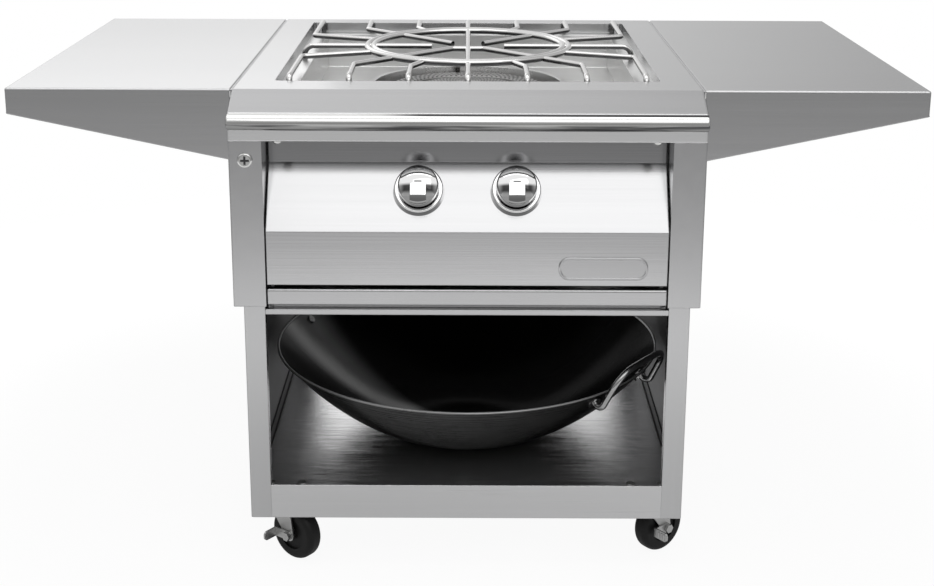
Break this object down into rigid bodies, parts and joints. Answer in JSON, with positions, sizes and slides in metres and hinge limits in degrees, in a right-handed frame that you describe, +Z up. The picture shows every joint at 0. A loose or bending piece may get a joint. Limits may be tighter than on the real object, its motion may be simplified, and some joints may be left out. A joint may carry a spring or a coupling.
{
  "type": "outdoor power burner cart",
  "caption": "Wheeled stainless steel gas power burner cart with rod grate, folded side shelves, sloped control panel with scooped knobs, drip tray and a wok on its lower shelf.",
  "frame": {"origin": "on the floor, in the middle of the footprint", "axes": "+X to the right as seen from the front, +Y to the back, +Z up"},
  "size_m": [1.197, 0.668, 0.6645],
  "materials": {
    "stainless": "brushed",
    "polished_steel": "polished",
    "chrome_trim": "mirror bright",
    "burner_iron": "as cast",
    "brass_fittings": "machined",
    "pipe_steel": "satin",
    "zinc_plate": "zinc plated",
    "wheel_rubber": "satin",
    "brake_steel": "zinc plated",
    "wok_steel": "satin black",
    "igniter_ceramic": "dark glazed"
  },
  "bodies": {
    "cart": {"top_deck": "stainless", "left_upper_side": "stainless", "right_upper_side": "stainless", "front_left_post": "stainless", "front_right_post": "stainless", "rear_left_post": "stainless", "rear_right_post": "stainless", "left_lower_side": "stainless", "right_lower_side": "stainless", "back_panel": "stainless", "base_pan": "stainless", "heat_shield": "stainless", "tray_runners": "stainless", "control_panel": "stainless", "firebox": "stainless", "burner_bowl": "stainless", "left_shelf": "stainless", "right_shelf": "stainless", "shelf_brackets": "stainless", "venturi_tubes": "stainless", "bullnose_rail": "polished_steel", "badge_plate": "polished_steel", "panel_screws": "polished_steel", "knob_bezels": "chrome_trim", "outer_burner": "burner_iron", "inner_burner": "burner_iron", "gas_inlet_fitting": "brass_fittings", "left_gas_valve": "brass_fittings", "right_gas_valve": "brass_fittings", "gas_manifold": "pipe_steel", "left_return_spring": "pipe_steel", "right_return_spring": "pipe_steel", "caster_plates": "zinc_plate", "caster_bolts": "zinc_plate", "igniter": "igniter_ceramic"},
    "drip_tray": {"drip_tray": "stainless"},
    "grate": {"grate": "polished_steel"},
    "wok": {"wok": "wok_steel", "wok_front_handle": "wok_steel", "wok_rear_handle": "wok_steel"},
    "left_push": {"left_thrust_washer": "brass_fittings"},
    "left_knob": {"left_knob": "chrome_trim", "left_valve_stem": "pipe_steel"},
    "right_push": {"right_thrust_washer": "brass_fittings"},
    "right_knob": {"right_knob": "chrome_trim", "right_valve_stem": "pipe_steel"},
    "front_left_caster": {"front_left_fork": "zinc_plate", "front_left_axle": "zinc_plate"},
    "front_left_wheel": {"front_left_wheel": "wheel_rubber"},
    "front_left_brake": {"front_left_brake": "brake_steel"},
    "front_right_caster": {"front_right_fork": "zinc_plate", "front_right_axle": "zinc_plate"},
    "front_right_wheel": {"front_right_wheel": "wheel_rubber"},
    "front_right_brake": {"front_right_brake": "brake_steel"},
    "rear_left_caster": {"rear_left_fork": "zinc_plate", "rear_left_axle": "zinc_plate"},
    "rear_left_wheel": {"rear_left_wheel": "wheel_rubber"},
    "rear_right_caster": {"rear_right_fork": "zinc_plate", "rear_right_axle": "zinc_plate"},
    "rear_right_wheel": {"rear_right_wheel": "wheel_rubber"}
  },
  "joints": [
    {"name": "tray_slide", "type": "slide", "parent": "cart", "child": "drip_tray", "axis": [0, -1, 0], "range_m": [0, 0.42]},
    {"name": "grate_lift", "type": "slide", "parent": "cart", "child": "grate", "axis": [0, 0, 1], "range_m": [0, 0.12]},
    {"name": "wok_lift", "type": "slide", "parent": "cart", "child": "wok", "axis": [0, 0, 1], "range_m": [0, 0.08]},
    {"name": "left_push_in", "type": "slide", "parent": "cart", "child": "left_push", "axis": [0, 0.8509, -0.5253], "range_m": [0, 0.004], "stiffness_N_per_m": 2000, "springref_m": -0.004, "deforming": ["left_return_spring"]},
    {"name": "left_turn", "type": "hinge", "parent": "left_push", "child": "left_knob", "pos_m": [-0.0633, -0.29201, 0.52396], "axis": [0, -0.8509, 0.5253], "range_deg": [0, 240]},
    {"name": "right_push_in", "type": "slide", "parent": "cart", "child": "right_push", "axis": [0, 0.8509, -0.5253], "range_m": [0, 0.004], "stiffness_N_per_m": 2000, "springref_m": -0.004, "deforming": ["right_return_spring"]},
    {"name": "right_turn", "type": "hinge", "parent": "right_push", "child": "right_knob", "pos_m": [0.0633, -0.29201, 0.52396], "axis": [0, -0.8509, 0.5253], "range_deg": [0, 240]},
    {"name": "front_left_swivel", "type": "hinge", "parent": "cart", "child": "front_left_caster", "pos_m": [-0.251, -0.2795, 0.0375], "axis": [0, 0, 1], "continuous": true},
    {"name": "front_left_roll", "type": "hinge", "parent": "front_left_caster", "child": "front_left_wheel", "pos_m": [-0.23366, -0.29304, 0.0375], "axis": [0.6157, 0.788, 0], "continuous": true},
    {"name": "front_left_brake_press", "type": "hinge", "parent": "front_left_caster", "child": "front_left_brake", "pos_m": [-0.23366, -0.29304, 0.0375], "axis": [0.6157, 0.788, 0], "range_deg": [-15, 0]},
    {"name": "front_right_swivel", "type": "hinge", "parent": "cart", "child": "front_right_caster", "pos_m": [0.251, -0.2795, 0.0375], "axis": [0, 0, 1], "continuous": true},
    {"name": "front_right_roll", "type": "hinge", "parent": "front_right_caster", "child": "front_right_wheel", "pos_m": [0.26834, -0.26595, 0.0375], "axis": [-0.6157, 0.788, 0], "continuous": true},
    {"name": "front_right_brake_press", "type": "hinge", "parent": "front_right_caster", "child": "front_right_brake", "pos_m": [0.26834, -0.26595, 0.0375], "axis": [-0.6157, 0.788, 0], "range_deg": [-15, 0]},
    {"name": "rear_left_swivel", "type": "hinge", "parent": "cart", "child": "rear_left_caster", "pos_m": [-0.251, 0.2895, 0.0375], "axis": [0, 0, 1], "continuous": true},
    {"name": "rear_left_roll", "type": "hinge", "parent": "rear_left_caster", "child": "rear_left_wheel", "pos_m": [-0.24348, 0.26883, 0.0375], "axis": [0.9397, 0.342, 0], "continuous": true},
    {"name": "rear_right_swivel", "type": "hinge", "parent": "cart", "child": "rear_right_caster", "pos_m": [0.251, 0.2895, 0.0375], "axis": [0, 0, 1], "continuous": true},
    {"name": "rear_right_roll", "type": "hinge", "parent": "rear_right_caster", "child": "rear_right_wheel", "pos_m": [0.2417, 0.26956, 0.0375], "axis": [0.9063, -0.4226, 0], "continuous": true}
  ]
}
